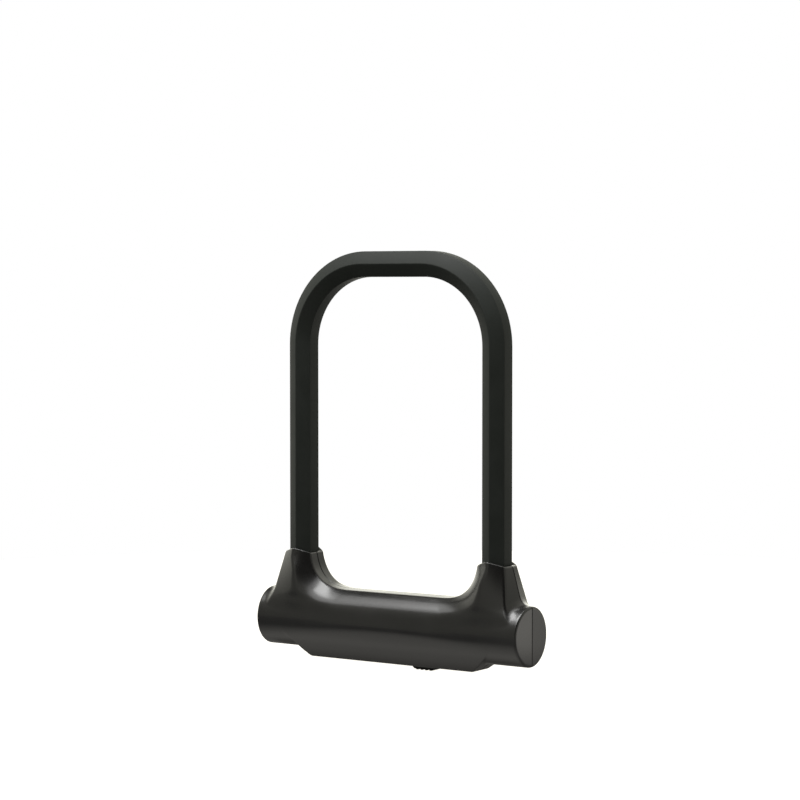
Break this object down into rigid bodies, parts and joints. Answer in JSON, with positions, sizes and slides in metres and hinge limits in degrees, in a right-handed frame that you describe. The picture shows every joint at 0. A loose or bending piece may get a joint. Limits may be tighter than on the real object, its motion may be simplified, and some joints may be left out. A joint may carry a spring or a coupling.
{
  "type": "u lock",
  "caption": "Bicycle U lock: hexagonal rubber-covered steel shackle in a flared two-shell crossbar with a downward key cylinder and sliding key cover.",
  "frame": {"origin": "below the middle of the crossbar, level with the lowest point of the key cover's thumb tab", "axes": "+X along the crossbar towards the end nearer the thumb tab, -Y out of the front shell, +Z from the crossbar to the top of the shackle"},
  "size_m": [0.1742, 0.034, 0.2306],
  "materials": {
    "shackle_rubber": "matte moulded rubber",
    "shell_plastic": "satin moulded plastic",
    "cover_plastic": "satin black plastic",
    "hardened_steel": "ground, plated",
    "keyway_steel": "satin",
    "black_screw": "black oxide",
    "brass": "machined",
    "nylon": "moulded nylon",
    "pad_rubber": "soft rubber"
  },
  "bodies": {
    "crossbar": {"crossbar_tube": "hardened_steel", "front_shell": "shell_plastic", "rear_shell": "shell_plastic", "shell_screws": "black_screw", "shell_inserts": "brass", "left_tube_plug": "hardened_steel", "right_tube_plug": "hardened_steel", "plug_pins": "hardened_steel", "left_end_pad": "pad_rubber", "right_end_pad": "pad_rubber", "left_entry_bush": "nylon", "right_entry_bush": "nylon", "left_bolt_guide": "nylon", "right_bolt_guide": "nylon", "cylinder_body": "brass", "cylinder_circlip": "black_screw", "drill_plate": "hardened_steel", "cover_track": "cover_plastic"},
    "shackle": {"shackle_bar": "hardened_steel", "shackle_cover": "shackle_rubber"},
    "key_cover": {"key_cover": "cover_plastic"},
    "rotor": {"rotor_barrel": "brass", "keyway_plate": "keyway_steel", "lock_discs": "brass", "disc_spacers": "brass", "sidebar": "hardened_steel", "cam_disc": "hardened_steel"},
    "left_deadbolt": {"left_bolt": "hardened_steel", "left_bolt_pin": "hardened_steel"},
    "right_deadbolt": {"right_bolt": "hardened_steel", "right_bolt_pin": "hardened_steel"}
  },
  "joints": [
    {"name": "shackle_lift", "type": "slide", "parent": "crossbar", "child": "shackle", "axis": [0, 0, 1], "range_m": [0, 0.06]},
    {"name": "key_cover_slide", "type": "slide", "parent": "crossbar", "child": "key_cover", "axis": [1, 0, 0], "range_m": [0, 0.012]},
    {"name": "key_turn", "type": "hinge", "parent": "crossbar", "child": "rotor", "pos_m": [0, 0, 0.0231], "axis": [0, 0, 1], "range_deg": [0, 90]},
    {"name": "right_bolt_throw", "type": "slide", "parent": "crossbar", "child": "right_deadbolt", "axis": [1, 0, 0], "range_m": [0, 0.004]},
    {"name": "left_bolt_throw", "type": "slide", "parent": "crossbar", "child": "left_deadbolt", "axis": [-1, 0, 0], "range_m": [0, 0.004]}
  ],
  "couplings": [
    {"joint": "key_turn", "follows": "right_bolt_throw", "rad_per_m": 392.7},
    {"joint": "left_bolt_throw", "follows": "right_bolt_throw", "ratio": 1}
  ]
}
